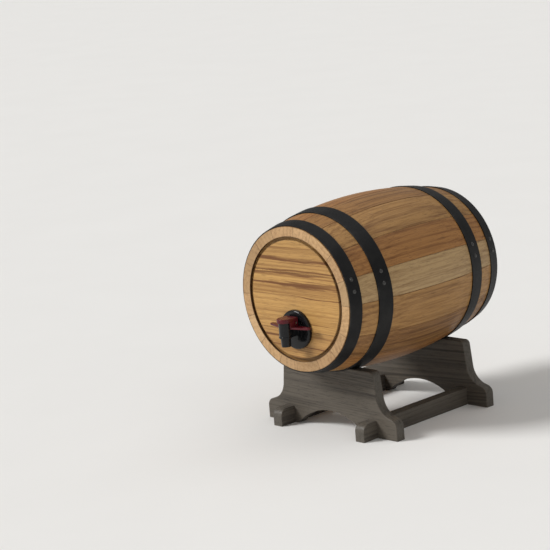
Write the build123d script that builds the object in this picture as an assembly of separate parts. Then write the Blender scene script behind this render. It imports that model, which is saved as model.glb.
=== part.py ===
from build123d import *
import math
import os

# A small wooden barrel that holds a refillable drink pouch, with a press tap, on a low cradle stand.
# Millimetres. +Z is up, the tap faces -Y, and the origin is on the floor under the middle of the whole.

# Barrel
BARREL_LENGTH = 277.0
END_RADIUS = 90.0
BILGE_RADIUS = 107.0
AXIS_HEIGHT = 176.0
STAVE_COUNT = 16
STAVE_THICKNESS = 12.0
STAVE_WIDTH_SWING = 0.16
STAVE_GAP = 0.1
STAVE_EDGE_CHAMFER = 0.4

# Heads: a fixed front head in a groove, with a raised field, and a rear lid on a step
HEAD_RECESS = 4.5
HEAD_THICKNESS = 10.0
HEAD_FIELD_RISE = 4.2
HEAD_FIELD_MARGIN = 5.5
HEAD_SEAT_WALL = 6.0
HEAD_FIT = 0.1
PLANK_JOINT_LOW = -39.0
PLANK_JOINT_HIGH = 33.0
PLANK_GAP = 0.1
PLANK_EDGE_CHAMFER = 0.4
DOWEL_RADIUS = 2.5
DOWEL_LENGTH = 24.0
DOWEL_OFFSET = 42.0
DOWEL_FIT = 0.05

LID_CLEARANCE = 0.4
LID_JOINT = 28.0
FINGER_HOLE_RADIUS = 13.0
FINGER_HOLE_ROUND = 2.0
BATTEN_OFFSET = 40.0
BATTEN_WIDTH = 20.0
BATTEN_THICKNESS = 8.0
BATTEN_END_CLEARANCE = 8.0

# Hoops and their rivets
HOOP_THICKNESS = 1.3
HOOP_FIT = 0.05
HEAD_HOOP_SETBACK = 1.0
HEAD_HOOP_WIDTH = 16.5
QUARTER_HOOP_SETBACK = 42.5
QUARTER_HOOP_WIDTH = 21.2
RIVET_TURN = 15.0
RIVET_PITCH = 15.0
RIVET_HEAD_RADIUS = 2.6
RIVET_HEAD_HEIGHT = 1.1
RIVET_SHANK_RADIUS = 1.2
RIVET_FIT = 0.05

# Countersunk wood screws, in the lid and in the stand
LID_SCREW_RADIUS = 1.5
LID_SCREW_LENGTH = 14.0
STAND_SCREW_RADIUS = 1.8
STAND_SCREW_LENGTH = 26.0
STAND_SCREW_SINK = 0.8
SCREW_HEAD_RATIO = 2.0
SCREW_FIT = 0.05

# Pouch spout and tap: heights are from the tap's own axis, reaches are forward of the head's field
TAP_DROP = 37.0
SPOUT_NECK_RADIUS = 12.5
SPOUT_FIT = 0.2
SPOUT_FLANGE_RADIUS = 19.0
SPOUT_FLANGE_THICKNESS = 3.0
SPOUT_SHORT = 1.0
COLLAR_RADIUS = 24.5
COLLAR_THICKNESS = 5.0
COLLAR_ROUND = 2.2
SPIGOT_RADIUS = 8.9
SPIGOT_FIT = 0.1
SPIGOT_DEPTH = 11.0
RING_CORD_RADIUS = 0.85
RING_DEPTH = 6.0
RING_FIT = 0.03
TAP_FLANGE_RADIUS = 14.0
TAP_FLANGE_THICKNESS = 1.5
NOZZLE_REACH = 21.0
TAP_NECK_RADIUS = 7.7
TOWER_TOP = 12.7
NOZZLE_RIM_RADIUS = 8.3
NOZZLE_RIM_HEIGHT = 1.6
NOZZLE_STEP = -4.5
NOZZLE_RADIUS = 6.4
NOZZLE_TIP_RADIUS = 5.8
NOZZLE_TIP = -17.0
LUG_HALF_WIDTH = 7.9
LUG_HALF_DEPTH = 3.0
LUG_TOP = 13.5
CHANNEL_RADIUS = 3.5
CHANNEL_HEIGHT = -1.0
CHAMBER_RADIUS = 5.0
CHAMBER_BOTTOM = -5.0
CHAMBER_TOP = 3.0
SEAT_RADIUS = 3.0
SEAT_BOTTOM = -8.0
OUTLET_RADIUS = 4.8
POCKET_FLOOR = 6.0

# Valve
STEM_RADIUS = 1.5
STEM_FIT = 0.05
VALVE_DISC_RADIUS = 4.3
VALVE_DISC_THICKNESS = 1.5
SEAL_THICKNESS = 0.9
SEAL_CLEARANCE = 0.1
SPRING_HEIGHT = 6.0
SPRING_SEAT_THICKNESS = 1.0
SPRING_RADIUS = 3.3
SPRING_WIRE_RADIUS = 0.4
SPRING_TURNS = 4
BUTTON_RADIUS = 2.0
BUTTON_CLEARANCE = 0.5

# Lever
HINGE_REACH = 10.5
HINGE_HEIGHT = 11.0
PIN_RADIUS = 1.25
PIN_PRESS_FIT = 0.02
PIN_RUNNING_FIT = 0.05
LEVER_CLEARANCE = 0.5
LEVER_WALL = 1.3
LEVER_TOP = 18.0
LEVER_PLATE = 1.5
LEVER_SKIRT_GAP = 0.3
LEVER_TOP_ROUND = 0.9
CHEEK_BOTTOM = 5.0
WING_HALF_SPAN = 33.0
WING_THICKNESS = 2.2
WING_SETBACK = 1.0
WING_TIP_DEPTH = 5.5
WING_TIP_ROUND = 2.2

# Foil pouch
BAG_CLEARANCE = 0.4
BAG_TOP = 22.0
BAG_END_ROUND = 16.0
BAG_REAR_CLEARANCE = 4.0

# Stand
CRADLE_THICKNESS = 14.0
SADDLE_CLEARANCE = 0.3
SADDLE_RISE = 8.5
HORN_HALF_WIDTH = 76.0
HORN_ROUND = 6.0
WAIST_HALF_WIDTH = 82.0
WAIST_HEIGHT = 32.0
WAIST_ROUND = 26.0
FOOT_HALF_WIDTH = 110.0
FOOT_HEIGHT = 24.0
FOOT_ROUND = 10.0
ARCH_MARGIN = 5.0
ARCH_RISE = 24.0
CRADLE_EDGE_ROUND = 1.0
RAIL_SPACING = 141.0
RAIL_THICKNESS = 15.0
RAIL_HEIGHT = 22.0
RAIL_OVERHANG = 24.0
RAIL_END_ROUND = 9.0
RAIL_EDGE_ROUND = 1.0
LAP_FIT = 0.1

# Places worked out from the sizes above
HALF_LENGTH = BARREL_LENGTH / 2
LEVER_HALF_WIDTH = TAP_NECK_RADIUS + LEVER_CLEARANCE + LEVER_WALL
TAP_REACH = NOZZLE_REACH + LEVER_HALF_WIDTH + HEAD_FIELD_RISE - HEAD_RECESS
BARREL_PLACE = Pos(0, TAP_REACH / 2, AXIS_HEIGHT)
HEAD_FRONT = -HALF_LENGTH + HEAD_RECESS
HEAD_BACK = HEAD_FRONT + HEAD_THICKNESS
HEAD_FIELD = HEAD_FRONT - HEAD_FIELD_RISE
TAP_WALL = HEAD_BACK - HEAD_FIELD
LID_BACK = HALF_LENGTH - HEAD_RECESS
LID_SEAT = LID_BACK - HEAD_THICKNESS
HEAD_SEAT_RADIUS = END_RADIUS - HEAD_SEAT_WALL
TAP_PLACE = BARREL_PLACE * Pos(0, HEAD_FIELD, -TAP_DROP)
CRADLE_OFFSET = HALF_LENGTH - QUARTER_HOOP_SETBACK - QUARTER_HOOP_WIDTH / 2
RAIL_LENGTH = 2 * (CRADLE_OFFSET + CRADLE_THICKNESS / 2 + RAIL_OVERHANG)
BIG = 2 * BARREL_LENGTH


# Simple solids, given by their limits
def block(x0, x1, y0, y1, z0, z1):
    return Pos((x0 + x1) / 2, (y0 + y1) / 2, (z0 + z1) / 2) * Box(x1 - x0, y1 - y0, z1 - z0)


def rod_x(radius, x0, x1, y=0.0, z=0.0):
    return Pos((x0 + x1) / 2, y, z) * Rot(0, 90, 0) * Cylinder(radius, x1 - x0)


def rod_y(radius, y0, y1, x=0.0, z=0.0):
    return Pos(x, (y0 + y1) / 2, z) * Rot(90, 0, 0) * Cylinder(radius, y1 - y0)


def rod_z(radius, z0, z1, x=0.0, y=0.0):
    return Pos(x, y, (z0 + z1) / 2) * Cylinder(radius, z1 - z0)


os.makedirs("parts", exist_ok=True)


def save(name, shape):
    export_step(shape, os.path.join("parts", name + ".step"))


def save_group(name, shapes):
    save(name, Compound(children=list(shapes)))


# A countersunk screw that points up, with its head's flat face at z = 0
def wood_screw(radius, length, grow=0.0):
    head_radius = radius * SCREW_HEAD_RATIO
    head_height = head_radius - radius
    head = Pos(0, 0, head_height / 2) * Cone(head_radius + grow, radius + grow, head_height)
    return head + rod_z(radius + grow, 0, length + grow)


# Barrel outline: one arc from end to end, as a radius at a distance along the axis from the middle
BILGE_RISE = BILGE_RADIUS - END_RADIUS
BILGE_ARC = (HALF_LENGTH**2 + BILGE_RISE**2) / (2 * BILGE_RISE)


def barrel_radius(y):
    return BILGE_RADIUS - BILGE_ARC + math.copysign(math.sqrt(BILGE_ARC**2 - y**2), BILGE_ARC)


def barrel_edge(y0, y1, offset):
    points = [(barrel_radius(y) + offset, y) for y in (y0, (y0 + y1) / 2, y1)]
    return ThreePointArc(*points)


def band_face(y0, y1, inner, outer):
    inside = barrel_edge(y0, y1, inner)
    outside = barrel_edge(y0, y1, outer)
    ends = [Line(inside @ t, outside @ t) for t in (0, 1)]
    return make_face([inside, outside] + ends)


def core_face(y0, y1, offset):
    outside = barrel_edge(y0, y1, offset)
    sides = Polyline(outside @ 0, (0, y0), (0, y1), outside @ 1)
    return make_face([outside, sides])


# Staves: wedges of the barrel wall, with the front groove and the rear step already cut
def stave_angles():
    widths = [1 + STAVE_WIDTH_SWING * math.sin(2.4 * i + 1.0) for i in range(STAVE_COUNT)]
    share = 360 / sum(widths)
    return [width * share for width in widths]


stave_face = band_face(-HALF_LENGTH, HALF_LENGTH, -STAVE_THICKNESS, 0)
groove = Pos(0, (HEAD_FRONT + HEAD_BACK) / 2) * Rectangle(2 * HEAD_SEAT_RADIUS, HEAD_THICKNESS + 2 * HEAD_FIT)
step_depth = HALF_LENGTH - LID_SEAT + HEAD_FIT
step = Pos(0, HALF_LENGTH - step_depth / 2) * Rectangle(2 * HEAD_SEAT_RADIUS, step_depth)
stave_face = stave_face - groove - step


def is_outer_long_edge(edge):
    middle = edge @ 0.5
    return edge.length > HALF_LENGTH and math.hypot(middle.X, middle.Z) > BILGE_RADIUS - STAVE_THICKNESS / 2


gap_angle = math.degrees(STAVE_GAP / BILGE_RADIUS)
turn = 0.0
for index, angle in enumerate(stave_angles()):
    stave = revolve(stave_face, Axis.Y, angle - gap_angle)
    stave = chamfer(stave.edges().filter_by(is_outer_long_edge), STAVE_EDGE_CHAMFER)
    save(f"stave_{index + 1:02d}", BARREL_PLACE * Rot(0, turn, 0) * stave)
    turn += angle


# Front head: three planks edge to edge, pinned with dowels, with a raised field and a hole for the spout
def planks(disc, joints):
    limits = [-BIG] + list(joints) + [BIG]
    half_gap = PLANK_GAP / 2
    for low, high in zip(limits, limits[1:]):
        yield disc & block(-BIG, BIG, -BIG, BIG, low + half_gap, high - half_gap)


def ease_joints(plank, face_y, joints):
    def on_joint(edge):
        middle = edge @ 0.5
        at_face = abs(middle.Y - face_y) < PLANK_GAP
        return at_face and any(abs(middle.Z - z) < PLANK_GAP for z in joints)

    return chamfer(plank.edges().filter_by(on_joint), PLANK_EDGE_CHAMFER)


head_joints = (PLANK_JOINT_LOW, PLANK_JOINT_HIGH)
dowel_places = [(x, z) for z in head_joints for x in (-DOWEL_OFFSET, DOWEL_OFFSET)]
head_mid = (HEAD_FRONT + HEAD_BACK) / 2
field_radius = barrel_radius(HEAD_FRONT) - STAVE_THICKNESS - HEAD_FIELD_MARGIN
field = rod_y(field_radius, HEAD_FIELD, HEAD_FRONT)
head = rod_y(HEAD_SEAT_RADIUS - HEAD_FIT, HEAD_FRONT, HEAD_BACK)
head += chamfer(field.edges().sort_by(Axis.Y)[0], PLANK_EDGE_CHAMFER)
head -= rod_y(SPOUT_NECK_RADIUS + SPOUT_FIT, HEAD_FIELD, HEAD_BACK, z=-TAP_DROP)
dowels = []
for x, z in dowel_places:
    low, high = z - DOWEL_LENGTH / 2, z + DOWEL_LENGTH / 2
    dowels.append(BARREL_PLACE * rod_z(DOWEL_RADIUS, low, high, x, head_mid))
    head -= rod_z(DOWEL_RADIUS + DOWEL_FIT, low - DOWEL_FIT, high + DOWEL_FIT, x, head_mid)
for name, plank in zip(("bottom", "middle", "top"), planks(head, head_joints)):
    save(f"head_plank_{name}", BARREL_PLACE * ease_joints(plank, HEAD_FIELD, head_joints))
save_group("head_dowels", dowels)


# Rear lid: three planks on two battens, screwed from inside, with a finger hole
lid_joints = (-LID_JOINT, LID_JOINT)
lid = rod_y(HEAD_SEAT_RADIUS - LID_CLEARANCE, LID_SEAT, LID_BACK)
lid -= rod_y(FINGER_HOLE_RADIUS, LID_SEAT, LID_BACK)
lid = fillet(lid.edges().filter_by(GeomType.CIRCLE).sort_by(SortBy.RADIUS)[:2], FINGER_HOLE_ROUND)
lid_mouth = barrel_radius(LID_SEAT) - STAVE_THICKNESS - BATTEN_END_CLEARANCE
batten_half = math.sqrt(lid_mouth**2 - (BATTEN_OFFSET + BATTEN_WIDTH / 2) ** 2)
batten_front = LID_SEAT - BATTEN_THICKNESS
screw_rows = (-(LID_JOINT + batten_half) / 2, 0, (LID_JOINT + batten_half) / 2)
lid_screw_places = [
    Pos(side * BATTEN_OFFSET, batten_front, z) * Rot(-90, 0, 0) for side in (-1, 1) for z in screw_rows
]
for place in lid_screw_places:
    lid -= place * wood_screw(LID_SCREW_RADIUS, LID_SCREW_LENGTH, SCREW_FIT)
for name, plank in zip(("bottom", "middle", "top"), planks(lid, lid_joints)):
    save(f"lid_plank_{name}", BARREL_PLACE * ease_joints(plank, LID_BACK, lid_joints))
for name, side in (("left", -1), ("right", 1)):
    centre = side * BATTEN_OFFSET
    half = BATTEN_WIDTH / 2
    batten = block(centre - half, centre + half, batten_front, LID_SEAT, -batten_half, batten_half)
    for place in lid_screw_places:
        batten -= place * wood_screw(LID_SCREW_RADIUS, LID_SCREW_LENGTH, SCREW_FIT)
    save(f"lid_batten_{name}", BARREL_PLACE * batten)
lid_screw = wood_screw(LID_SCREW_RADIUS, LID_SCREW_LENGTH)
save_group("lid_screws", [BARREL_PLACE * place * lid_screw for place in lid_screw_places])


# Hoops: bands that follow the barrel, each with two rivets through its lap
def rivet():
    ball_radius = (RIVET_HEAD_RADIUS**2 + RIVET_HEAD_HEIGHT**2) / (2 * RIVET_HEAD_HEIGHT)
    half_dome = math.asin(RIVET_HEAD_RADIUS / ball_radius) / 2
    crown = RIVET_FIT + RIVET_HEAD_HEIGHT
    dome_middle = (crown - ball_radius * (1 - math.cos(half_dome)), ball_radius * math.sin(half_dome))
    dome = ThreePointArc((crown, 0), dome_middle, (RIVET_FIT, RIVET_HEAD_RADIUS))
    shank = Polyline(
        (RIVET_FIT, RIVET_HEAD_RADIUS),
        (RIVET_FIT, RIVET_SHANK_RADIUS),
        (-HOOP_THICKNESS, RIVET_SHANK_RADIUS),
        (-HOOP_THICKNESS, 0),
        (crown, 0),
    )
    return revolve(make_face([dome, shank]), Axis.X, 360)


rear_head_hoop = HALF_LENGTH - HEAD_HOOP_SETBACK - HEAD_HOOP_WIDTH
rear_quarter_hoop = HALF_LENGTH - QUARTER_HOOP_SETBACK - QUARTER_HOOP_WIDTH
hoops = {
    "hoop_front_head": (-HALF_LENGTH + HEAD_HOOP_SETBACK, HEAD_HOOP_WIDTH),
    "hoop_front_quarter": (-HALF_LENGTH + QUARTER_HOOP_SETBACK, QUARTER_HOOP_WIDTH),
    "hoop_rear_quarter": (rear_quarter_hoop, QUARTER_HOOP_WIDTH),
    "hoop_rear_head": (rear_head_hoop, HEAD_HOOP_WIDTH),
}
rivets = []
for name, (start, width) in hoops.items():
    hoop = revolve(band_face(start, start + width, HOOP_FIT, HOOP_FIT + HOOP_THICKNESS), Axis.Y, 360)
    middle = start + width / 2
    slope = math.degrees(math.asin(middle / BILGE_ARC))
    outside = barrel_radius(middle) + HOOP_FIT + HOOP_THICKNESS
    half_lap = math.degrees(RIVET_PITCH / 2 / outside)
    for angle in (RIVET_TURN - half_lap, RIVET_TURN + half_lap):
        place = Rot(0, -angle, 0) * Pos(outside, middle, 0) * Rot(0, 0, slope)
        hoop -= place * rod_x(RIVET_SHANK_RADIUS + RIVET_FIT, -2 * HOOP_THICKNESS, HOOP_THICKNESS)
        rivets.append(BARREL_PLACE * place * rivet())
    save(name, BARREL_PLACE * hoop)
save_group("hoop_rivets", rivets)


# Pouch spout: a neck through the head with its flange inside, and the collar that holds it from outside
spout_back = TAP_WALL + SPOUT_FLANGE_THICKNESS
spout_front = -COLLAR_THICKNESS + SPOUT_SHORT
spout = rod_y(SPOUT_NECK_RADIUS, spout_front, spout_back)
spout += rod_y(SPOUT_FLANGE_RADIUS, TAP_WALL, spout_back)
spout -= rod_y(SPIGOT_RADIUS + SPIGOT_FIT, spout_front, spout_back)
save("bag_spout", TAP_PLACE * spout)

collar = rod_y(COLLAR_RADIUS, -COLLAR_THICKNESS, 0)
collar = fillet(collar.edges().sort_by(Axis.Y)[0], COLLAR_ROUND)
collar -= rod_y(SPOUT_NECK_RADIUS + SPOUT_FIT, -COLLAR_THICKNESS, 0)
save("tap_collar", TAP_PLACE * collar)

# Tap body: a spigot in the spout, a neck forward to the tower, the nozzle below and a lug for the lever
neck_start = -COLLAR_THICKNESS
nozzle_y = -NOZZLE_REACH
hinge_y = -HINGE_REACH
tap = rod_y(SPIGOT_RADIUS, neck_start, SPIGOT_DEPTH)
tap += rod_y(TAP_FLANGE_RADIUS, neck_start - TAP_FLANGE_THICKNESS, neck_start)
tap += rod_y(TAP_NECK_RADIUS, nozzle_y, neck_start)
tap += rod_z(TAP_NECK_RADIUS, NOZZLE_STEP, TOWER_TOP, y=nozzle_y)
tap += rod_z(NOZZLE_RIM_RADIUS, NOZZLE_STEP - NOZZLE_RIM_HEIGHT, NOZZLE_STEP, y=nozzle_y)
tip_length = NOZZLE_STEP - NOZZLE_TIP
tap += Pos(0, nozzle_y, NOZZLE_TIP + tip_length / 2) * Cone(NOZZLE_TIP_RADIUS, NOZZLE_RADIUS, tip_length)
lug_back, lug_front = hinge_y + LUG_HALF_DEPTH, hinge_y - LUG_HALF_DEPTH
tap += block(-LUG_HALF_WIDTH, LUG_HALF_WIDTH, lug_front, lug_back, 0, LUG_TOP)
tap -= rod_x(PIN_RADIUS + PIN_PRESS_FIT, -BIG, BIG, hinge_y, HINGE_HEIGHT)
tap -= rod_y(CHANNEL_RADIUS, nozzle_y, SPIGOT_DEPTH, z=CHANNEL_HEIGHT)
tap -= rod_z(CHAMBER_RADIUS, CHAMBER_BOTTOM, CHAMBER_TOP, y=nozzle_y)
tap -= rod_z(SEAT_RADIUS, SEAT_BOTTOM, CHAMBER_BOTTOM, y=nozzle_y)
tap -= rod_z(OUTLET_RADIUS, NOZZLE_TIP, SEAT_BOTTOM, y=nozzle_y)
tap -= rod_z(STEM_RADIUS + STEM_FIT, CHAMBER_TOP, POCKET_FLOOR, y=nozzle_y)
tap -= rod_z(CHAMBER_RADIUS, POCKET_FLOOR, TOWER_TOP, y=nozzle_y)
ring_radius = SPIGOT_RADIUS + SPIGOT_FIT - RING_FIT - RING_CORD_RADIUS
ring_half = RING_CORD_RADIUS + RING_FIT
ring_bore = rod_y(ring_radius - ring_half, RING_DEPTH - ring_half, RING_DEPTH + ring_half)
tap -= rod_y(SPIGOT_RADIUS, RING_DEPTH - ring_half, RING_DEPTH + ring_half) - ring_bore
save("tap_body", TAP_PLACE * tap)
ring = Rot(90, 0, 0) * Torus(ring_radius, RING_CORD_RADIUS)
save("spigot_o_ring", TAP_PLACE * Pos(0, RING_DEPTH, 0) * ring)

# Valve: a stem with a disc under the seat, pushed down by the lever and back up by the spring
spring_top = POCKET_FLOOR + SPRING_HEIGHT
disc_top = SEAT_BOTTOM - SEAL_CLEARANCE - SEAL_THICKNESS
disc_bottom = disc_top - VALVE_DISC_THICKNESS
button_top = LEVER_TOP - LEVER_PLATE - BUTTON_CLEARANCE
stem = rod_z(STEM_RADIUS, disc_bottom, spring_top)
stem += rod_z(VALVE_DISC_RADIUS, disc_bottom, disc_top)
stem += rod_z(VALVE_DISC_RADIUS, spring_top, spring_top + SPRING_SEAT_THICKNESS)
stem += rod_z(BUTTON_RADIUS, spring_top, button_top)
VALVE_PLACE = TAP_PLACE * Pos(0, nozzle_y, 0)
save("valve_stem", VALVE_PLACE * stem)
seal = rod_z(VALVE_DISC_RADIUS, disc_top, disc_top + SEAL_THICKNESS)
seal -= rod_z(STEM_RADIUS + STEM_FIT, disc_top, disc_top + SEAL_THICKNESS)
save("valve_seal", VALVE_PLACE * seal)


# Return spring: a helix of biarcs, half a turn each, swept with the wire's section
def helix_point(half_turns, start, pitch):
    angle = math.pi * half_turns
    across = Vector(math.cos(angle), math.sin(angle), 0) * SPRING_RADIUS
    return across + Vector(0, 0, start + pitch * half_turns / 2)


def helix_tangent(half_turns, pitch):
    angle = math.pi * half_turns
    along = Vector(-math.sin(angle), math.cos(angle), 0) * (2 * math.pi * SPRING_RADIUS)
    return (along + Vector(0, 0, pitch)).normalized()


def biarc(p0, t0, p1, t1):
    chord = p1 - p0
    a = 2 * (t0.dot(t1) - 1)
    b = -2 * chord.dot(t0 + t1)
    reach = (-b - math.sqrt(b * b - 4 * a * chord.dot(chord))) / (2 * a)
    q0, q1 = p0 + t0 * reach, p1 - t1 * reach
    joint = (q0 + q1) * 0.5
    return [TangentArc(p0, joint, tangent=t0), TangentArc(joint, p1, tangent=(q1 - q0).normalized())]


wire_start = POCKET_FLOOR + SPRING_WIRE_RADIUS + STEM_FIT
wire_end = spring_top - SPRING_WIRE_RADIUS - STEM_FIT
spring_pitch = (wire_end - wire_start) / SPRING_TURNS
wire_arcs = []
for k in range(2 * SPRING_TURNS):
    ends = [helix_point(i, wire_start, spring_pitch) for i in (k, k + 1)]
    tangents = [helix_tangent(i, spring_pitch) for i in (k, k + 1)]
    wire_arcs += biarc(ends[0], tangents[0], ends[1], tangents[1])
wire_path = Wire(wire_arcs)
wire_face = Plane(wire_path @ 0, z_dir=wire_path % 0) * Circle(SPRING_WIRE_RADIUS)
save("return_spring", VALVE_PLACE * sweep(wire_face, path=wire_path))
POINTS_A_TURN = 48
wire_steps = POINTS_A_TURN * SPRING_TURNS
wire_points = [wire_path @ (i / wire_steps) for i in range(wire_steps + 1)]
coil_gap = min(
    (wire_points[i] - wire_points[j]).length - 2 * SPRING_WIRE_RADIUS
    for i in range(len(wire_points))
    for j in range(i + POINTS_A_TURN // 2, len(wire_points))
)
print(f"return spring: least gap between coils {coil_gap:.2f} mm")

# Lever: a cap over the tower that runs back as two cheeks to the pin, with a wing on each cheek
inner_half = TAP_NECK_RADIUS + LEVER_CLEARANCE
skirt_bottom = TOWER_TOP + LEVER_SKIRT_GAP
cheek_back = lug_back
plate_under = LEVER_TOP - LEVER_PLATE


def cap(half_width, y_back, z0, z1):
    return block(-half_width, half_width, nozzle_y, y_back, z0, z1) + rod_z(half_width, z0, z1, y=nozzle_y)


lever = cap(LEVER_HALF_WIDTH, cheek_back, skirt_bottom, LEVER_TOP)
lever = fillet(lever.faces().sort_by(Axis.Z)[-1].edges(), LEVER_TOP_ROUND)
lever -= cap(inner_half, cheek_back + LEVER_WALL, skirt_bottom - LEVER_WALL, plate_under)
for side in (-1, 1):
    near, far = sorted((side * inner_half, side * LEVER_HALF_WIDTH))
    lever += block(near, far, nozzle_y, cheek_back, CHEEK_BOTTOM, skirt_bottom)
    wing_back = cheek_back - WING_SETBACK
    wing_plan = make_face(
        Polyline(
            (side * inner_half, wing_back),
            (side * WING_HALF_SPAN, wing_back),
            (side * WING_HALF_SPAN, wing_back - WING_TIP_DEPTH),
            (side * inner_half, nozzle_y),
            close=True,
        )
    )
    wing_plan = fillet([v for v in wing_plan.vertices() if abs(v.X) > LEVER_HALF_WIDTH], WING_TIP_ROUND)
    lever += extrude(Pos(0, 0, CHEEK_BOTTOM) * wing_plan, WING_THICKNESS, dir=(0, 0, 1))
lever -= rod_x(PIN_RADIUS + PIN_RUNNING_FIT, -BIG, BIG, hinge_y, HINGE_HEIGHT)
save("tap_lever", TAP_PLACE * lever)
save("lever_pin", TAP_PLACE * rod_x(PIN_RADIUS, -LEVER_HALF_WIDTH, LEVER_HALF_WIDTH, hinge_y, HINGE_HEIGHT))

# Foil pouch: part full, so it takes the barrel's shape below and lies level on top
bag_front = HEAD_BACK + SPOUT_FLANGE_THICKNESS + BAG_CLEARANCE
bag_back = batten_front - BAG_REAR_CLEARANCE
bag_face = core_face(bag_front, bag_back, -STAVE_THICKNESS - BAG_CLEARANCE)
rim = [v for v in bag_face.vertices() if v.X > END_RADIUS / 2]
bag = revolve(fillet(rim, BAG_END_ROUND), Axis.Y, 360)
bag &= block(-BIG, BIG, -BIG, BIG, -BIG, BAG_TOP)
save("foil_bag", BARREL_PLACE * bag)

# Stand: two cradles halved over two rails, screwed from below
STAND_PLACE = Pos(0, TAP_REACH / 2, 0)
stand_screw_places = [
    Pos(x * RAIL_SPACING / 2, y * CRADLE_OFFSET, STAND_SCREW_SINK) for x in (-1, 1) for y in (-1, 1)
]
stand_screw_hole = wood_screw(STAND_SCREW_RADIUS, STAND_SCREW_LENGTH, SCREW_FIT)
stand_screw_hole += rod_z(STAND_SCREW_RADIUS * SCREW_HEAD_RATIO + SCREW_FIT, -STAND_SCREW_SINK, 0)
hoop_outside = HOOP_FIT + HOOP_THICKNESS
horn_top = AXIS_HEIGHT - barrel_radius(CRADLE_OFFSET) - hoop_outside + SADDLE_RISE
lap_height = RAIL_HEIGHT / 2


def corners(face, x, z):
    return [v for v in face.vertices() if abs(abs(v.X) - x) < LAP_FIT and abs(v.Y - z) < LAP_FIT]


# Length of edge that a round of 1 mm takes up on each side of a corner
def round_reach(before, corner, after):
    turn = (Vector(corner) - Vector(before)).get_angle(Vector(after) - Vector(corner))
    return math.tan(math.radians(turn) / 2)


# The waist's round is as large as its name says, or as the edges beside it leave room for
def waist_round(foot, toe, waist, horn):
    toe_room = (Vector(waist) - Vector(toe)).length - FOOT_ROUND * round_reach(foot, toe, waist)
    horn_room = (Vector(horn) - Vector(waist)).length - HORN_ROUND * round_reach(waist, horn, (0, horn[1]))
    return min(WAIST_ROUND, (min(toe_room, horn_room) - LAP_FIT) / round_reach(toe, waist, horn))


def cradle_board():
    right = [
        (FOOT_HALF_WIDTH, 0),
        (FOOT_HALF_WIDTH, FOOT_HEIGHT),
        (WAIST_HALF_WIDTH, WAIST_HEIGHT),
        (HORN_HALF_WIDTH, horn_top),
    ]
    left = [(-x, z) for x, z in reversed(right)]
    face = make_face(Polyline(*right, *left, close=True))
    face = fillet(corners(face, FOOT_HALF_WIDTH, FOOT_HEIGHT), FOOT_ROUND)
    face = fillet(corners(face, WAIST_HALF_WIDTH, WAIST_HEIGHT), waist_round(*right))
    face = fillet(corners(face, HORN_HALF_WIDTH, horn_top), HORN_ROUND)
    board = extrude(Plane.XZ * face, CRADLE_THICKNESS / 2, both=True)
    return fillet(board.edges().group_by(Axis.Y)[0] + board.edges().group_by(Axis.Y)[-1], CRADLE_EDGE_ROUND)


arch_half = RAIL_SPACING / 2 - RAIL_THICKNESS / 2 - ARCH_MARGIN
arch_edge = ThreePointArc((-arch_half, 0), (0, ARCH_RISE), (arch_half, 0))
arch_face = make_face([arch_edge, Line(arch_edge @ 1, arch_edge @ 0)])
arch = extrude(Plane.XZ * arch_face, CRADLE_THICKNESS, both=True)
for name, side in (("front_cradle", -1), ("rear_cradle", 1)):
    middle = side * CRADLE_OFFSET
    seat_front, seat_back = middle - CRADLE_THICKNESS, middle + CRADLE_THICKNESS
    seat_face = core_face(seat_front, seat_back, hoop_outside + SADDLE_CLEARANCE)
    cradle = Pos(0, middle, 0) * (cradle_board() - arch)
    cradle -= Pos(0, 0, AXIS_HEIGHT) * revolve(seat_face, Axis.Y, 360)
    for x in (-RAIL_SPACING / 2, RAIL_SPACING / 2):
        half = RAIL_THICKNESS / 2 + LAP_FIT
        cradle -= block(x - half, x + half, -BIG, BIG, -BIG, lap_height)
    for place in stand_screw_places:
        cradle -= place * stand_screw_hole
    save(name, STAND_PLACE * cradle)

for name, side in (("left_rail", -1), ("right_rail", 1)):
    middle = side * RAIL_SPACING / 2
    half_length = RAIL_LENGTH / 2
    rail = block(-RAIL_THICKNESS / 2, RAIL_THICKNESS / 2, -half_length, half_length, 0, RAIL_HEIGHT)
    rail = fillet(rail.edges().filter_by(Axis.X).group_by(Axis.Z)[-1], RAIL_END_ROUND)
    sides = rail.faces().sort_by(Axis.X)
    rail = fillet(sides[0].edges() + sides[-1].edges(), RAIL_EDGE_ROUND)
    rail = Pos(middle, 0, 0) * rail
    for y in (-CRADLE_OFFSET, CRADLE_OFFSET):
        half = CRADLE_THICKNESS / 2 + LAP_FIT
        rail -= block(-BIG, BIG, y - half, y + half, lap_height, BIG)
    for place in stand_screw_places:
        rail -= place * stand_screw_hole
    save(name, STAND_PLACE * rail)
stand_screw = wood_screw(STAND_SCREW_RADIUS, STAND_SCREW_LENGTH)
save_group("stand_screws", [STAND_PLACE * place * stand_screw for place in stand_screw_places])
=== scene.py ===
import bmesh
import bpy
import math
from mathutils import Euler, Matrix, Vector, noise
from mathutils.bvhtree import BVHTree


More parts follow.
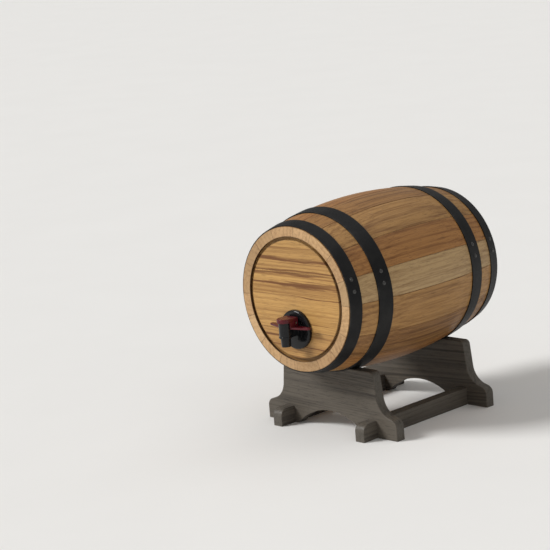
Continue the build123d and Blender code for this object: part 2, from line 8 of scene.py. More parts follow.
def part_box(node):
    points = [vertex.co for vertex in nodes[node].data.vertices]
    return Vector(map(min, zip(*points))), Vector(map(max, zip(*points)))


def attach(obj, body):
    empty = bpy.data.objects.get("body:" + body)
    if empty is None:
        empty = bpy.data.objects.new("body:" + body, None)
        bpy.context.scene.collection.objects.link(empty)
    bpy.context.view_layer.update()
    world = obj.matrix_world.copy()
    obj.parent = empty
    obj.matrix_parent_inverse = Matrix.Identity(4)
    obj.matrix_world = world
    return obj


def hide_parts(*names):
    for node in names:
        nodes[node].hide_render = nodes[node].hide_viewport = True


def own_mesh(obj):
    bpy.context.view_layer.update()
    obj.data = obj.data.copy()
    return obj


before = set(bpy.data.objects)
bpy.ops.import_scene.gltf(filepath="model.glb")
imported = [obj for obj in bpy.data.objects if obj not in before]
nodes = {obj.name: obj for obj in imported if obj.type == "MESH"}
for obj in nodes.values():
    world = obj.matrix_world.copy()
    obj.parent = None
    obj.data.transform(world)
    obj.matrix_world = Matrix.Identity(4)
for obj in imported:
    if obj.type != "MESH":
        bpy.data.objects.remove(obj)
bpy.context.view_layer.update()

# Rails
# Two hardwood rails that lie on the table and tie the cradles together. Planed square, rounded on top
# at both ends, halved where the cradles cross them, and stained charcoal black before assembly.


def wire(tree, socket, value):
    if isinstance(value, bpy.types.NodeSocket):
        tree.links.new(value, socket)
    else:
        socket.default_value = value


# A node of a material: small names are its settings, capital names its sockets, bare values its first sockets
def add(tree, kind, *values, **named):
    made = tree.nodes.new("ShaderNode" + kind)
    for key, value in named.items():
        if key[0].islower():
            setattr(made, key, value)
    for index, value in enumerate(values):
        wire(tree, made.inputs[index], value)
    for key, value in named.items():
        if key[0].isupper():
            wire(tree, made.inputs[key], value)
    return made


def maths(tree, operation, *values):
    return add(tree, "Math", *values, operation=operation).outputs[0]


def vectors(tree, operation, *values):
    made = add(tree, "VectorMath", *values, operation=operation)
    return made.outputs["Value" if operation in ("LENGTH", "DOT_PRODUCT") else "Vector"]


def ramp(tree, value, low, high, start=0.0, end=1.0):
    made = add(tree, "MapRange", value, low, high, start, end, interpolation_type="SMOOTHSTEP")
    return made.outputs[0]


def mix(tree, share, first, second):
    made = add(tree, "Mix", data_type="RGBA")
    for index, value in ((0, share), (6, first), (7, second)):
        wire(tree, made.inputs[index], value)
    return made.outputs[2]


def grain_noise(tree, space, stretch, detail, roughness=0.55):
    stretched = vectors(tree, "MULTIPLY", space, stretch)
    return add(tree, "TexNoise", Vector=stretched, Scale=1.0, Detail=detail, Roughness=roughness)


def shader_group(name, inputs, outputs):
    group = bpy.data.node_groups.new(name, "ShaderNodeTree")
    for label, (kind, value) in inputs.items():
        socket = group.interface.new_socket(label, in_out="INPUT", socket_type="NodeSocket" + kind)
        socket.default_value = value
    for label, kind in outputs.items():
        group.interface.new_socket(label, in_out="OUTPUT", socket_type="NodeSocket" + kind)
    return group, group.nodes.new("NodeGroupInput").outputs, group.nodes.new("NodeGroupOutput").inputs


# Mask of the strip beside a piece's edges, found by how far a rounded edge would turn the surface
def make_edge_group():
    group, given, made = shader_group("edges", {"Radius": ("Float", 0.001)}, {"Edge": "Float"})
    rounded = add(group, "Bevel", samples=6, Radius=given["Radius"])
    flat = add(group, "NewGeometry")
    agree = vectors(group, "DOT_PRODUCT", rounded.outputs["Normal"], flat.outputs["Normal"])
    wire(group, made["Edge"], ramp(group, agree, 0.995, 0.90))
    return group


edge_group = make_edge_group()


# Sawn timber with its grain along Y, measured from the heart of the tree
def make_timber_group():
    white, black = (1, 1, 1, 1), (0, 0, 0, 1)
    group, given, made = shader_group(
        "timber",
        {
            "Vector": ("Vector", (0, 0, 0)),
            "Normal": ("Vector", (0, 0, 1)),
            "Grain": ("Vector", (0, 1, 0)),
            "Early": ("Color", white),
            "Late": ("Color", black),
            "Pore": ("Color", black),
            "End": ("Color", white),
            "Edge": ("Color", black),
            "Ring Pitch": ("Float", 0.006),
            "Edge Radius": ("Float", 0.001),
            "Edge Share": ("Float", 0.5),
        },
        {"Color": "Color", "Roughness": "Float", "Height": "Float"},
    )
    wander = grain_noise(group, given["Vector"], (8, 1.1, 8), 1.0).outputs["Color"]
    shift = vectors(group, "MULTIPLY", vectors(group, "SUBTRACT", wander, (0.5, 0.5, 0.5)), (0.022, 0, 0.022))
    across = vectors(group, "MULTIPLY", vectors(group, "ADD", given["Vector"], shift), (1, 0, 1))
    turns = maths(group, "DIVIDE", vectors(group, "LENGTH", across), given["Ring Pitch"])
    ring = maths(group, "FRACT", turns)
    year = add(group, "TexWhiteNoise", noise_dimensions="1D", W=maths(group, "FLOOR", turns)).outputs["Value"]
    late = maths(group, "MULTIPLY", ramp(group, ring, 0.15, 0.82), ramp(group, ring, 1.0, 0.86))
    late = maths(group, "MULTIPLY", late, maths(group, "MULTIPLY_ADD", year, 0.75, 0.25))
    fibre = grain_noise(group, given["Vector"], (640, 7, 640), 4.0, 0.65).outputs[0]
    streak = grain_noise(group, given["Vector"], (230, 2.2, 230), 3.0).outputs[0]
    cloud = grain_noise(group, given["Vector"], (26, 2.0, 26), 3.0).outputs[0]
    dash = grain_noise(group, given["Vector"], (1700, 60, 1700), 2.0).outputs[0]
    pores = maths(group, "MULTIPLY", ramp(group, dash, 0.58, 0.68), ramp(group, late, 0.9, 0.2))
    depth = maths(group, "MULTIPLY_ADD", late, 0.55, ramp(group, cloud, 0.28, 0.78, -0.10, 0.36))
    depth = maths(group, "ADD", depth, ramp(group, streak, 0.34, 0.72, -0.24, 0.38))
    depth = maths(group, "ADD", depth, ramp(group, fibre, 0.30, 0.70, -0.22, 0.30))
    share = add(group, "Clamp", depth).outputs[0]
    long_face = mix(group, share, given["Early"], given["Late"])
    long_face = mix(group, maths(group, "MULTIPLY", pores, 0.55), long_face, given["Pore"])
    facing = maths(group, "ABSOLUTE", vectors(group, "DOT_PRODUCT", given["Normal"], given["Grain"]))
    end_share = ramp(group, facing, 0.70, 0.92, 0.0, 0.80)
    end_face = mix(group, maths(group, "MULTIPLY", share, 0.42), given["End"], given["Late"])
    colour = mix(group, end_share, long_face, end_face)
    edges = add(group, "Group", node_tree=edge_group)
    wire(group, edges.inputs["Radius"], given["Edge Radius"])
    worn = maths(group, "MULTIPLY", edges.outputs["Edge"], given["Edge Share"])
    worn = maths(group, "MULTIPLY", worn, ramp(group, cloud, 0.25, 0.60, 0.45, 1.0))
    wire(group, made["Color"], mix(group, worn, colour, given["Edge"]))
    sheen = ramp(group, fibre, 0.30, 0.70, 0.36, 0.56)
    wire(group, made["Roughness"], maths(group, "MULTIPLY_ADD", pores, 0.15, sheen))
    relief = maths(group, "MULTIPLY_ADD", pores, -0.8, maths(group, "MULTIPLY_ADD", late, 0.25, fibre))
    wire(group, made["Height"], relief)
    return group


timber_group = make_timber_group()


def new_material(name):
    material = bpy.data.materials.new(name)
    material.use_nodes = True
    tree = material.node_tree
    return material, tree, tree.nodes["Principled BSDF"]


def bump(tree, height, strength, distance):
    return add(tree, "Bump", Height=height, Strength=strength, Distance=distance).outputs["Normal"]


# A timber finish: turn carries the grain onto Y, heart is where the tree's middle lies from the turned origin
def timber(name, turn, heart, colours, ring_pitch, edge_radius, edge_share, relief):
    material, tree, surface = new_material(name)
    where = add(tree, "TexCoord")
    space = add(tree, "Mapping", Vector=where.outputs["Object"], Location=heart, Rotation=turn.to_euler())
    wood = add(tree, "Group", node_tree=timber_group)
    wire(tree, wood.inputs["Vector"], space.outputs["Vector"])
    wire(tree, wood.inputs["Normal"], where.outputs["Normal"])
    wood.inputs["Grain"].default_value = turn.transposed() @ Vector((0, 1, 0))
    for label, colour in zip(("Early", "Late", "Pore", "End", "Edge"), colours):
        wood.inputs[label].default_value = (*colour, 1)
    wood.inputs["Ring Pitch"].default_value = ring_pitch
    wood.inputs["Edge Radius"].default_value = edge_radius
    wood.inputs["Edge Share"].default_value = edge_share
    wire(tree, surface.inputs["Base Color"], wood.outputs["Color"])
    wire(tree, surface.inputs["Roughness"], wood.outputs["Roughness"])
    wire(tree, surface.inputs["Normal"], bump(tree, wood.outputs["Height"], strength=relief, distance=0.0004))
    surface.inputs["Specular IOR Level"].default_value = 0.26
    return material, tree, surface, wood


def dress(name, material):
    nodes[name].material_slots[0].material = material


charcoal_stain = (
    (0.104, 0.089, 0.071),
    (0.038, 0.032, 0.026),
    (0.013, 0.011, 0.009),
    (0.096, 0.085, 0.070),
    (0.146, 0.122, 0.095),
)
stand_wear = {"edge_share": 0.40, "relief": 0.45}
along_y = Matrix.Identity(3)
for index, rail in enumerate(("left_rail", "right_rail")):
    heart = (0.021, 0.31 * index, 0.055)
    made = timber(rail, along_y, heart, charcoal_stain, ring_pitch=0.0035, edge_radius=0.0016, **stand_wear)
    dress(rail, made[0])

# Cradles
# Two boards sawn to a saddle above and an arch below, with a rounded horn and foot at each side.
# The same stained hardwood with its grain across, dropped over the rails in halved joints.
along_x = Matrix.Rotation(math.radians(90), 3, "Z")
for index, cradle in enumerate(("front_cradle", "rear_cradle")):
    tilt = Matrix.Rotation(math.radians(2.0 - 5.0 * index), 3, "X")
    heart = (0.09, 0.27 * index, -0.035)
    turn = tilt @ along_x
    made = timber(cradle, turn, heart, charcoal_stain, ring_pitch=0.0042, edge_radius=0.0018, **stand_wear)
    dress(cradle, made[0])

# Stand screws
# Four zinc plated countersunk screws, driven up through the rails into the cradles.


# Small metal parts: drawn or plated metal with fine marks and a patchy dull film
def bare_metal(name, colour, dull, roughness):
    material, tree, surface = new_material(name)
    where = add(tree, "TexCoord").outputs["Object"]
    patches = add(tree, "TexNoise", Vector=where, Scale=420.0, Detail=4.0, Roughness=0.6).outputs[0]
    marks = add(tree, "TexNoise", Vector=where, Scale=2600.0, Detail=2.0).outputs[0]
    shade = ramp(tree, patches, 0.35, 0.68)
    wire(tree, surface.inputs["Base Color"], mix(tree, shade, (*colour, 1), (*dull, 1)))
    wire(tree, surface.inputs["Roughness"], ramp(tree, patches, 0.3, 0.7, roughness, roughness + 0.18))
    wire(tree, surface.inputs["Normal"], bump(tree, marks, strength=0.2, distance=0.00005))
    surface.inputs["Metallic"].default_value = 1.0
    return material


zinc = bare_metal("zinc_plate", (0.62, 0.61, 0.57), (0.38, 0.37, 0.33), roughness=0.30)
dress("stand_screws", zinc)

# Staves
# Sixteen curved oak boards of uneven width, jointed to each other and held by the hoops alone.
# Sanded and varnished outside; the inner faces are darkened, as toast and as painted shade on the chime's
# wall in front of the head. Each came from another board, so their tones differ.
hoop_low, hoop_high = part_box("hoop_front_head")
axis_height = (hoop_low.z + hoop_high.z) / 2
stave_joint = (0.060, 0.032, 0.016)
# Dark wood colour: toast on the inner faces, and painted shade on the chime's recess wall and in the head's
# channel
toasted_and_shaded_wood = (0.045, 0.024, 0.012, 1)
barrel_varnish = {"Coat Weight": 0.10, "Coat Roughness": 0.32}
stave_tones = {
    "honey": ((0.410, 0.220, 0.072), (0.196, 0.090, 0.026), (0.088, 0.039, 0.013)),
    "brown": ((0.330, 0.166, 0.055), (0.142, 0.062, 0.019), (0.066, 0.029, 0.011)),
    "russet": ((0.378, 0.178, 0.055), (0.170, 0.067, 0.019), (0.078, 0.031, 0.011)),
    "pale": ((0.465, 0.310, 0.148), (0.266, 0.158, 0.068), (0.130, 0.072, 0.031)),
}
chime_wood = (0.545, 0.350, 0.178)
tones_in_order = (
    "honey", "brown", "russet", "honey", "brown", "honey", "pale", "russet",
    "honey", "brown", "honey", "russet", "brown", "honey", "russet", "pale",
)


def varnish(surface, coat):
    for label, value in coat.items():
        surface.inputs[label].default_value = value


for index, tone in enumerate(tones_in_order):
    stave = f"stave_{index + 1:02d}"
    low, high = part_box(stave)
    middle = (low + high) / 2
    outward = math.atan2(middle.x, middle.z - axis_height)
    tilt = Matrix.Rotation(math.radians(1.1 * math.sin(2.7 * index)), 3, "X")
    turn = tilt @ Matrix.Rotation(-outward, 3, "Y")
    offset = Vector((0.11 * math.sin(1.9 * index + 0.4), 0.37 * index, 0.03 * math.cos(3.1 * index) - 0.10))
    heart = offset - turn @ Vector((0, 0, axis_height))
    early, late, pore = stave_tones[tone]
    end_wood = Vector(chime_wood) * (0.92 + 0.17 * math.sin(5.3 * index + 1.0))
    colours = (early, late, pore, end_wood, stave_joint)
    material, tree, surface, wood = timber(
        stave, turn, heart, colours, ring_pitch=0.0062, edge_radius=0.0011, edge_share=0.72, relief=0.35
    )
    where = add(tree, "TexCoord")
    from_axis = vectors(tree, "SUBTRACT", where.outputs["Object"], (0, 0, axis_height))
    from_axis = vectors(tree, "NORMALIZE", vectors(tree, "MULTIPLY", from_axis, (1, 0, 1)))
    outward_share = vectors(tree, "DOT_PRODUCT", where.outputs["Normal"], from_axis)
    # Inward faces take the dark colour: toast inside the barrel, and painted shade on the chime's wall in
    # front of the head
    inward_toast_and_shade = ramp(tree, outward_share, -0.3, -0.7, 0.0, 0.85)
    wire(tree, surface.inputs["Base Color"], mix(tree, inward_toast_and_shade, wood.outputs["Color"], toasted_and_shaded_wood))
    varnish(surface, barrel_varnish)
    dress(stave, material)

# Head dowels
# Four turned beech pins, glued across the joints of the head; they are out of sight in the finished barrel.
beech = ((0.60, 0.43, 0.27), (0.45, 0.29, 0.16), (0.30, 0.18, 0.09), (0.66, 0.49, 0.32), (0.50, 0.33, 0.19))
along_z = Matrix.Rotation(math.radians(-90), 3, "X")
dowel_heart = (0.02, 0, 0.03)
made = timber(
    "beech", along_z, dowel_heart, beech, ring_pitch=0.0020, edge_radius=0.0006, edge_share=0.30, relief=0.20
)
dress("head_dowels", made[0])

# Front head
# Three oak planks edge to edge with the grain across, let into a groove inside the staves. A raised field
# stands level with the staves' ends, with a channel round it painted dark as shade, and dark heartwood
# streaks across it.
field_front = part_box("head_plank_middle")[0].y
field_radius = max(
    math.hypot(vertex.co.x, vertex.co.z - axis_height)
    for vertex in nodes["head_plank_middle"].data.vertices
    if vertex.co.y < field_front + 0.0001
)
channel_blur = 0.0008
head_joint = (0.075, 0.038, 0.016)
head_colours = {
    "head_plank_bottom": ((0.445, 0.246, 0.080), (0.235, 0.112, 0.033), (0.110, 0.050, 0.016)),
    "head_plank_middle": ((0.510, 0.290, 0.093), (0.285, 0.140, 0.040), (0.135, 0.063, 0.020)),
    "head_plank_top": ((0.468, 0.264, 0.086), (0.226, 0.108, 0.032), (0.104, 0.048, 0.016)),
}


# Mask of a dark streak along X at one height, ragged at its edges and swelling towards the right
def make_streak_group():
    group, given, made = shader_group(
        "streak",
        {
            "Vector": ("Vector", (0, 0, 0)),
            "Height": ("Float", 0.0),
            "Width": ("Float", 0.003),
            "Swell": ("Float", 0.0),
        },
        {"Streak": "Float"},
    )
    slow = grain_noise(group, given["Vector"], (9, 30, 30), 2.0).outputs[0]
    ragged = grain_noise(group, given["Vector"], (16, 420, 420), 4.0, 0.65).outputs[0]
    place = add(group, "SeparateXYZ", given["Vector"]).outputs
    level = maths(group, "SUBTRACT", place["Z"], given["Height"])
    level = maths(group, "ADD", level, ramp(group, slow, 0.25, 0.75, -0.002, 0.002))
    swollen = maths(group, "MULTIPLY_ADD", maths(group, "MULTIPLY", place["X"], given["Swell"]), 14.0, 1.0)
    width = maths(group, "MULTIPLY", given["Width"], swollen)
    away = maths(group, "DIVIDE", maths(group, "ABSOLUTE", level), width)
    away = maths(group, "ADD", away, ramp(group, ragged, 0.3, 0.7, -0.55, 0.55))
    strong = maths(group, "MULTIPLY", ramp(group, away, 1.0, 0.15), ramp(group, slow, 0.30, 0.62, 0.75, 1.0))
    wire(group, made["Streak"], strong)
    return group


streak_group = make_streak_group()
heartwood = (0.130, 0.044, 0.011, 1)
heartwood_share = 0.92
# Each plank's streaks: height from the barrel's axis, half width, and how much it swells to the right
streaks = {
    "head_plank_bottom": ((-0.047, 0.0016, -0.5), (-0.058, 0.0010, 0.2)),
    "head_plank_middle": (
        (0.0185, 0.0054, 0.75),
        (0.0312, 0.0026, 0.1),
        (-0.031, 0.0010, -0.9),
        (0.004, 0.0007, 0.4),
    ),
    "head_plank_top": ((0.0350, 0.0016, 0.1), (0.0490, 0.0034, 0.2)),
}
for index, (plank, (early, late, pore)) in enumerate(head_colours.items()):
    tilt = Matrix.Rotation(math.radians(0.8 - 0.9 * index), 3, "X")
    heart = (-0.10 - 0.02 * index, 0.41 * index, -axis_height + 0.16 + 0.05 * index)
    colours = (early, late, pore, chime_wood, head_joint)
    turn = tilt @ along_x
    material, tree, surface, wood = timber(
        plank, turn, heart, colours, ring_pitch=0.0052, edge_radius=0.0011, edge_share=0.80, relief=0.35
    )
    where = add(tree, "TexCoord")
    colour = wood.outputs["Color"]
    for height, width, swell in streaks[plank]:
        streak = add(tree, "Group", node_tree=streak_group)
        wire(tree, streak.inputs["Vector"], where.outputs["Object"])
        streak.inputs["Height"].default_value = axis_height + height
        streak.inputs["Width"].default_value = width
        streak.inputs["Swell"].default_value = swell
        share = maths(tree, "MULTIPLY", streak.outputs["Streak"], heartwood_share)
        colour = mix(tree, share, colour, heartwood)
    from_axis = vectors(tree, "SUBTRACT", where.outputs["Object"], (0, 0, axis_height))
    reach = vectors(tree, "LENGTH", vectors(tree, "MULTIPLY", from_axis, (1, 0, 1)))
    forward = maths(tree, "ABSOLUTE", add(tree, "SeparateXYZ", where.outputs["Normal"]).outputs["Y"])
    # Painted shade in the channel round the field: darkest on its walls, lighter on its floor
    shadow = ramp(tree, forward, 0.72, 0.35, 0.30, 0.90)
    channel = ramp(tree, reach, field_radius, field_radius + channel_blur)
    colour = mix(tree, maths(tree, "MULTIPLY", channel, shadow), colour, toasted_and_shaded_wood)
    wire(tree, surface.inputs["Base Color"], colour)
    varnish(surface, barrel_varnish)
    dress(plank, material)

# Hoops
# Four bands of rolled steel strip, driven onto the barrel and painted satin black.
# The paint is thin on the edges, where the driver has rubbed it, and dusty in patches.


def make_hoop_paint():
    material, tree, surface = new_material("hoop_paint")
    where = add(tree, "TexCoord").outputs["Object"]
    patches = add(tree, "TexNoise", Vector=where, Scale=38.0, Detail=5.0, Roughness=0.62).outputs[0]
    scuffs = add(tree, "TexNoise", Vector=where, Scale=900.0, Detail=3.0).outputs[0]
    edges = add(tree, "Group", node_tree=edge_group)
    edges.inputs["Radius"].default_value = 0.0007
    rubbed = maths(tree, "MULTIPLY", edges.outputs["Edge"], ramp(tree, patches, 0.46, 0.66, 0.0, 0.55))
    paint = mix(tree, ramp(tree, patches, 0.35, 0.72), (0.0055, 0.0055, 0.006, 1), (0.014, 0.0135, 0.013, 1))
    wire(tree, surface.inputs["Base Color"], mix(tree, rubbed, paint, (0.22, 0.21, 0.20, 1)))
    wire(tree, surface.inputs["Metallic"], rubbed)
    wire(tree, surface.inputs["Roughness"], ramp(tree, scuffs, 0.3, 0.7, 0.40, 0.56))
    wire(tree, surface.inputs["Normal"], bump(tree, scuffs, strength=0.25, distance=0.0001))
    surface.inputs["Specular IOR Level"].default_value = 0.20
    return material


hoop_paint = make_hoop_paint()
for hoop in ("hoop_front_head", "hoop_front_quarter", "hoop_rear_quarter", "hoop_rear_head"):
    dress(hoop, hoop_paint)

# Hoop rivets
# Two round headed steel rivets close each hoop's lap, painted with the hoop and worn bright in spots.


def make_rivet_paint():
    material, tree, surface = new_material("rivet_paint")
    where = add(tree, "TexCoord").outputs["Object"]
    patches = add(tree, "TexNoise", Vector=where, Scale=1500.0, Detail=4.0).outputs[0]
    bright = ramp(tree, patches, 0.50, 0.70)
    colour = mix(tree, bright, (0.012, 0.012, 0.012, 1), (0.22, 0.21, 0.20, 1))
    wire(tree, surface.inputs["Base Color"], colour)
    wire(tree, surface.inputs["Metallic"], bright)
    wire(tree, surface.inputs["Roughness"], ramp(tree, patches, 0.35, 0.65, 0.50, 0.30))
    wire(tree, surface.inputs["Normal"], bump(tree, patches, strength=0.3, distance=0.0001))
    return material


dress("hoop_rivets", make_rivet_paint())

# Foil pouch
# A pillow of metallised film, about two thirds full, that sags into the lower part of the barrel. It takes
# the staves' curve below and lies in soft waves on top. Its ends gather in pleats round a welded, folded fin.
pouch_low, pouch_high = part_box("foil_bag")
pouch_middle = (pouch_low + pouch_high) / 2
film_slack = 0.0035
voxel = 0.0045
merge_reach = 1e-6
pouch_shape = bmesh.new()
pouch_shape.from_mesh(nodes["foil_bag"].data)
bmesh.ops.remove_doubles(pouch_shape, verts=pouch_shape.verts[:], dist=merge_reach)


def make_foil():
    material, tree, surface = new_material("foil_film")
    where = add(tree, "TexCoord").outputs["Object"]
    bent = add(tree, "TexNoise", Vector=where, Scale=16.0, Detail=2.0).outputs["Color"]
    bent = vectors(tree, "MULTIPLY_ADD", bent, (0.03, 0.03, 0.03), where)
    creases = add(tree, "TexNoise", Vector=bent, Scale=34.0, Detail=3.0, noise_type="RIDGED_MULTIFRACTAL")
    crumple = add(tree, "TexNoise", Vector=bent, Scale=150.0, Detail=4.0, Roughness=0.6).outputs[0]
    haze = add(tree, "TexNoise", Vector=where, Scale=24.0, Detail=4.0).outputs[0]
    wire(tree, surface.inputs["Base Color"], mix(tree, haze, (0.80, 0.81, 0.83, 1), (0.62, 0.63, 0.66, 1)))
    wire(tree, surface.inputs["Roughness"], ramp(tree, crumple, 0.3, 0.7, 0.16, 0.32))
    fold = maths(tree, "MULTIPLY_ADD", crumple, 0.35, creases.outputs[0])
    wire(tree, surface.inputs["Normal"], bump(tree, fold, strength=0.45, distance=0.0010))
    surface.inputs["Metallic"].default_value = 1.0
    return material


def new_piece(name, shape, material):
    mesh = bpy.data.meshes.new(name)
    for face in shape.faces:
        face.smooth = True
    shape.to_mesh(mesh)
    shape.free()
    mesh.materials.append(material)
    piece = bpy.data.objects.new(name, mesh)
    bpy.context.scene.collection.objects.link(piece)
    return piece


pouch = new_piece("foil_pouch", pouch_shape, make_foil())
remesh = pouch.modifiers.new("even_film", "REMESH")
remesh.mode = "VOXEL"
remesh.voxel_size = voxel
remesh.use_smooth_shade = True


def settle(piece):
    shown = piece.evaluated_get(bpy.context.evaluated_depsgraph_get())
    mesh = bpy.data.meshes.new_from_object(shown)
    piece.modifiers.clear()
    piece.data = mesh


coarse_crumple, fine_crumple = 0.0018, 0.0012
wave_length, wave_depth = 0.078, 0.0055
pleat_count, pleat_depth = 13, 0.0060
pleat_start = 0.045


# How deep a fold lies under the full pouch: crumples all over, waves on top, pleats round the ends
def fold_depth(point, normal):
    crumples = coarse_crumple * abs(noise.noise(point * 28)) + fine_crumple * abs(noise.noise(point * 70))
    along = (point.y - pouch_low.y) / wave_length + 0.8 * noise.noise(point * 11)
    waves = wave_depth * max(normal.z, 0.0) ** 2 * (0.5 + 0.5 * math.sin(2 * math.pi * along))
    out = Vector((point.x - pouch_middle.x, point.z - pouch_middle.z))
    pleat = 0.5 + 0.5 * math.sin(pleat_count * math.atan2(out.y, out.x) + 4 * noise.noise(point * 16))
    pleats = pleat_depth * abs(normal.y) * pleat**2 * min(out.length / pleat_start, 1.0)
    return crumples + waves + pleats


settle(pouch)
for vertex in pouch.data.vertices:
    vertex.co -= vertex.normal * (film_slack + fold_depth(vertex.co, vertex.normal))
rest_points = [vertex.co.copy() for vertex in pouch.data.vertices]
last_step = 20
cloth = pouch.modifiers.new("film", "CLOTH")
cloth.settings.quality = 5
cloth.settings.mass = 0.15
cloth.settings.tension_stiffness = 25
cloth.settings.compression_stiffness = 25
cloth.settings.shear_stiffness = 12
cloth.settings.bending_stiffness = 0.4
cloth.settings.use_pressure = True
cloth.settings.uniform_pressure_force = 1.5
cloth.settings.shrink_min = -0.10
cloth.settings.effector_weights.gravity = 0
for step in range(1, last_step + 1):
    bpy.context.scene.frame_set(step)
settle(pouch)
bpy.context.scene.frame_set(1)
farthest_swell = 0.95 * film_slack
for vertex, rest in zip(pouch.data.vertices, rest_points):
    moved = vertex.co - rest
    reach = moved.length
    if reach > 0:
        vertex.co = rest + moved * (farthest_swell * math.tanh(reach / film_slack) / reach)

# The fin is the film's welded end: it hangs down the back, a little off it, and follows its folds
fin_half_width = 0.070
fin_top = pouch_middle.z + 0.012
fin_drop = 0.011
fin_wander = 0.0015
fin_gap = 0.0003
fin_flare, fin_ripple = 0.0011, 0.0005
fin_film = 0.0005
fin_columns, fin_rows = 70, 4
behind_pouch = pouch_high.y + 0.02
film_tree = BVHTree.FromPolygons(
    [vertex.co for vertex in pouch.data.vertices], [face.vertices for face in pouch.data.polygons]
)
fin_shape = bmesh.new()
bmesh.ops.create_grid(fin_shape, x_segments=fin_columns, y_segments=fin_rows, size=1.0)
for vertex in fin_shape.verts:
    hang = (1 - vertex.co.y) / 2
    across = vertex.co.x * fin_half_width
    height = fin_top - hang * fin_drop + fin_wander * math.sin(55 * across)
    film = film_tree.ray_cast(Vector((across, behind_pouch, height)), Vector((0, -1, 0)))[0]
    lift = fin_gap + hang * (fin_flare + fin_ripple * math.sin(160 * across))
    vertex.co = film + Vector((0, lift, 0))
bmesh.ops.recalc_face_normals(fin_shape, faces=fin_shape.faces[:])
bmesh.ops.solidify(fin_shape, geom=fin_shape.faces[:], thickness=fin_film)
fin_shape.from_mesh(pouch.data)
for face in fin_shape.faces:
    face.smooth = True
fin_shape.to_mesh(pouch.data)
fin_shape.free()
smoothing = pouch.modifiers.new("film_smooth", "SUBSURF")
smoothing.levels = smoothing.render_levels = 1
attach(pouch, "barrel")
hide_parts("foil_bag")

# Pouch spout
# The natural polyethylene spout welded to the pouch: a flange inside the head and a neck out through it.


# Moulded plastic with softened edges, faint flow marks and a thin film of dust
def moulded(name, colour, film, roughness, edge_radius, relief):
    material, tree, surface = new_material(name)
    where = add(tree, "TexCoord").outputs["Object"]
    flow = add(tree, "TexNoise", Vector=where, Scale=160.0, Detail=4.0, Distortion=0.6).outputs[0]
    skin = add(tree, "TexNoise", Vector=where, Scale=2200.0, Detail=2.0).outputs[0]
    tint = mix(tree, ramp(tree, flow, 0.40, 0.90), (*colour, 1), (*film, 1))
    wire(tree, surface.inputs["Base Color"], tint)
    wire(tree, surface.inputs["Roughness"], ramp(tree, flow, 0.30, 0.72, roughness, roughness + 0.14))
    rounded = add(tree, "Bevel", samples=8, Radius=edge_radius).outputs["Normal"]
    grained = add(tree, "Bump", Height=skin, Strength=relief, Distance=0.00006, Normal=rounded)
    wire(tree, surface.inputs["Normal"], grained.outputs["Normal"])
    surface.inputs["Specular IOR Level"].default_value = 0.28
    return material


natural_plastic = moulded(
    "natural_plastic", (0.74, 0.73, 0.69), (0.62, 0.60, 0.54), roughness=0.38, edge_radius=0.0003, relief=0.20
)
dress("bag_spout", natural_plastic)

# Tap collar and tap body
# The black plastic half of a press tap: a collar that clamps the pouch's spout to the head, and a body that
# plugs into it and carries the neck, the valve tower and the nozzle. Moulded, and glossy from its mould.
tap_black = moulded(
    "tap_black", (0.006, 0.006, 0.007), (0.015, 0.015, 0.016), roughness=0.09, edge_radius=0.0006, relief=0.12
)
for part in ("tap_collar", "tap_body"):
    dress(part, tap_black)

# Spigot ring
# A black silicone ring in a groove of the tap's spigot, which seals it in the spout.
rubber = moulded(
    "seal_rubber",
    (0.020, 0.020, 0.020),
    (0.048, 0.047, 0.046),
    roughness=0.55,
    edge_radius=0.0002,
    relief=0.35,
)
dress("spigot_o_ring", rubber)

# Valve stem and valve seal
# An acetal stem through the tap, with a rubber faced disc under the seat and a spring seat on top.
dress("valve_stem", natural_plastic)
dress("valve_seal", rubber)

# Return spring
# A coil of bright stainless wire in the tap's tower, under the stem's seat.
# It pushes the stem up, and shortens as the lever is pressed.
spring_low, spring_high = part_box("return_spring")
spring_middle = (spring_low + spring_high) / 2
wire_radius = 0.0004
coil_radius = (spring_high.x - spring_low.x) / 2 - wire_radius
coil_turns = 4
coil_steps = 28
wire_sides = 10
spring_mesh = bmesh.new()
bmesh.ops.create_circle(
    spring_mesh,
    segments=wire_sides,
    radius=wire_radius,
    matrix=Matrix.Translation((spring_middle.x + coil_radius, spring_middle.y, spring_low.z + wire_radius))
    @ Matrix.Rotation(math.radians(90), 4, "X"),
)
bmesh.ops.contextual_create(spring_mesh, geom=spring_mesh.edges[:])
coil_climb = (spring_high.z - spring_low.z - 2 * wire_radius) / (coil_turns * coil_steps)
bmesh.ops.spin(
    spring_mesh,
    geom=spring_mesh.verts[:] + spring_mesh.edges[:] + spring_mesh.faces[:],
    cent=spring_middle,
    axis=(0, 0, 1),
    dvec=(0, 0, coil_climb),
    angle=2 * math.pi * coil_turns,
    steps=coil_turns * coil_steps,
    use_merge=False,
)
bmesh.ops.recalc_face_normals(spring_mesh, faces=spring_mesh.faces[:])
spring_wire = bare_metal("spring_wire", (0.66, 0.66, 0.67), (0.50, 0.50, 0.51), roughness=0.22)
spring = new_piece("return_spring_wire", spring_mesh, spring_wire)
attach(spring, "barrel")
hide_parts("return_spring")
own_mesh(spring)

# Lever pin
# A drawn stainless pin pressed through the tap's lug; the lever's cheeks turn on its ends.
dress("lever_pin", bare_metal("pin_steel", (0.64, 0.64, 0.64), (0.46, 0.46, 0.46), roughness=0.24))

# Tap lever
# A dark red cap over the tower that turns on the pin, with a finger wing on each side.
# Moulded plastic with a satin gloss, a little paler in patches.
lever_red = moulded(
    "lever_red", (0.080, 0.006, 0.011), (0.122, 0.012, 0.019), roughness=0.22, edge_radius=0.0007, relief=0.15
)
dress("tap_lever", lever_red)

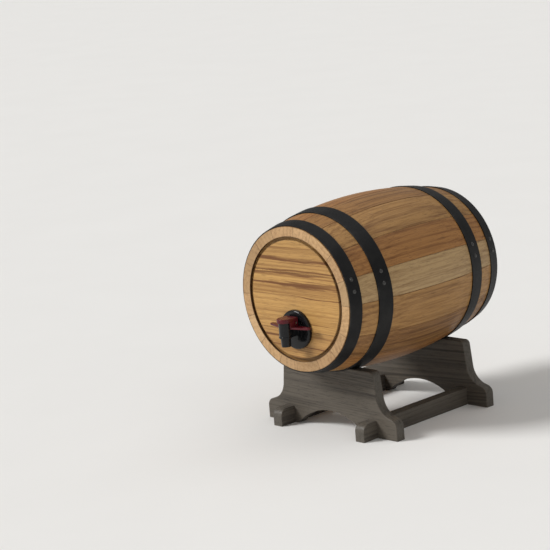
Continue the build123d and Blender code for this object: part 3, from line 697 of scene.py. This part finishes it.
# Rear lid
# Three oak planks screwed to two battens, pushed into the step at the back and pulled out by the finger hole.
# Plainer wood than the front head, under a duller varnish.
lid_varnish = {"Coat Weight": 0.10, "Coat Roughness": 0.40}
lid_wood = (
    ((0.505, 0.294, 0.102), (0.288, 0.148, 0.047), (0.130, 0.062, 0.021)),
    ((0.550, 0.328, 0.116), (0.314, 0.166, 0.053), (0.145, 0.070, 0.024)),
    ((0.474, 0.271, 0.095), (0.258, 0.130, 0.042), (0.120, 0.057, 0.020)),
)
for index, plank in enumerate(("lid_plank_bottom", "lid_plank_middle", "lid_plank_top")):
    early, late, pore = lid_wood[index]
    tilt = Matrix.Rotation(math.radians(0.8 * index - 1.1), 3, "X")
    heart = (0.12 + 0.03 * index, 0.53 + 0.29 * index, -axis_height - 0.16 + 0.06 * index)
    colours = (early, late, pore, chime_wood, head_joint)
    turn = tilt @ along_x
    material, _, surface, _ = timber(
        plank, turn, heart, colours, ring_pitch=0.0058, edge_radius=0.0009, edge_share=0.60, relief=0.35
    )
    varnish(surface, lid_varnish)
    dress(plank, material)
for index, batten in enumerate(("lid_batten_left", "lid_batten_right")):
    early, late, pore = lid_wood[index]
    colours = (early, late, pore, chime_wood, late)
    heart = (0.03, 0.2 * index, 0.04)
    made = timber(
        batten, along_z, heart, colours, ring_pitch=0.0050, edge_radius=0.0012, edge_share=0.35, relief=0.35
    )
    dress(batten, made[0])

# Lid screws
# Six small zinc plated countersunk screws, three through each batten into the planks.
dress("lid_screws", zinc)

# Studio
# A pale floor, soft light from the front left with a weaker fill from the right, and the photograph's view.
scene = bpy.context.scene
scene.view_settings.view_transform = "Standard"
floor_reach = 60.0
floor_shape = bmesh.new()
bmesh.ops.create_grid(floor_shape, x_segments=1, y_segments=1, size=floor_reach)
floor_paint, tree, surface = new_material("floor_paint")
where = add(tree, "TexCoord").outputs["Object"]
mottle = add(tree, "TexNoise", Vector=where, Scale=6.0, Detail=4.0).outputs[0]
wire(tree, surface.inputs["Base Color"], mix(tree, mottle, (0.80, 0.79, 0.77, 1), (0.83, 0.82, 0.80, 1)))
surface.inputs["Roughness"].default_value = 0.85
new_piece("floor", floor_shape, floor_paint)

world = bpy.data.worlds.new("studio")
world.use_nodes = True
scene.world = world
tree = world.node_tree
tree.nodes.clear()
sky = add(tree, "Background", Color=(1.0, 0.99, 0.97, 1), Strength=0.31)
add(tree, "OutputWorld", Surface=sky.outputs[0])


def sun(name, strength, spread, azimuth, elevation):
    lamp = bpy.data.lights.new(name, "SUN")
    lamp.energy = strength
    lamp.angle = math.radians(spread)
    holder = bpy.data.objects.new(name, lamp)
    holder.rotation_euler = Euler((math.radians(90 - elevation), 0, math.radians(azimuth)))
    scene.collection.objects.link(holder)


sun("key", strength=2.8, spread=20, azimuth=-38, elevation=36)
sun("fill", strength=0.36, spread=60, azimuth=70, elevation=35)
sun("top", strength=0.35, spread=50, azimuth=170, elevation=65)

camera_place = (1.7347, -1.8294, 0.7140)
azimuth, elevation, roll = (math.radians(angle) for angle in (45.99, 11.74, -4.64))
camera = bpy.data.cameras.new("camera")
camera.lens = 134.2
camera.sensor_width = 36.0
viewer = bpy.data.objects.new("camera", camera)
turned = Matrix.Rotation(azimuth, 4, "Z") @ Matrix.Rotation(math.pi / 2 - elevation, 4, "X")
turned = turned @ Matrix.Rotation(roll, 4, "Z")
viewer.matrix_world = Matrix.Translation(camera_place) @ turned
scene.collection.objects.link(viewer)
scene.camera = viewer
